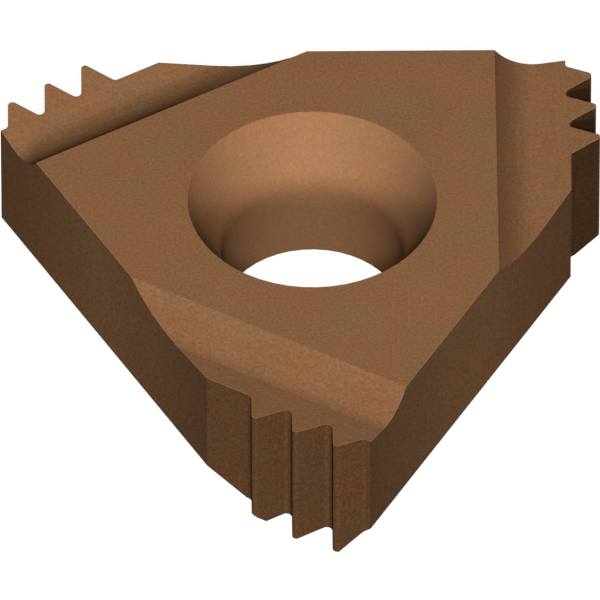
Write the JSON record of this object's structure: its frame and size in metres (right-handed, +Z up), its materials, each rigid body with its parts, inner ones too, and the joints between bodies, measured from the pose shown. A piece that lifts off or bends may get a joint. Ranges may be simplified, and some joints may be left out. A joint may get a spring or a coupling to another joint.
{
  "type": "threading insert",
  "caption": "Triangular lay-down threading insert with several full-profile teeth on each corner, chip grooves across the corners and a countersunk screw hole.",
  "frame": {"origin": "on the screw hole's axis, in the seating face under the insert", "axes": "+Z up the screw hole to the rake side with the chip grooves, +Y square to one side of the triangle, +X along that side towards the corner whose first tooth starts beside it"},
  "size_m": [0.0135, 0.0124, 0.0036],
  "materials": {
    "coated_carbide": "bronze-brown vapour-deposited coating on ground cemented carbide, satin"
  },
  "bodies": {
    "root": {"threading_insert": "coated_carbide"}
  },
  "joints": []
}
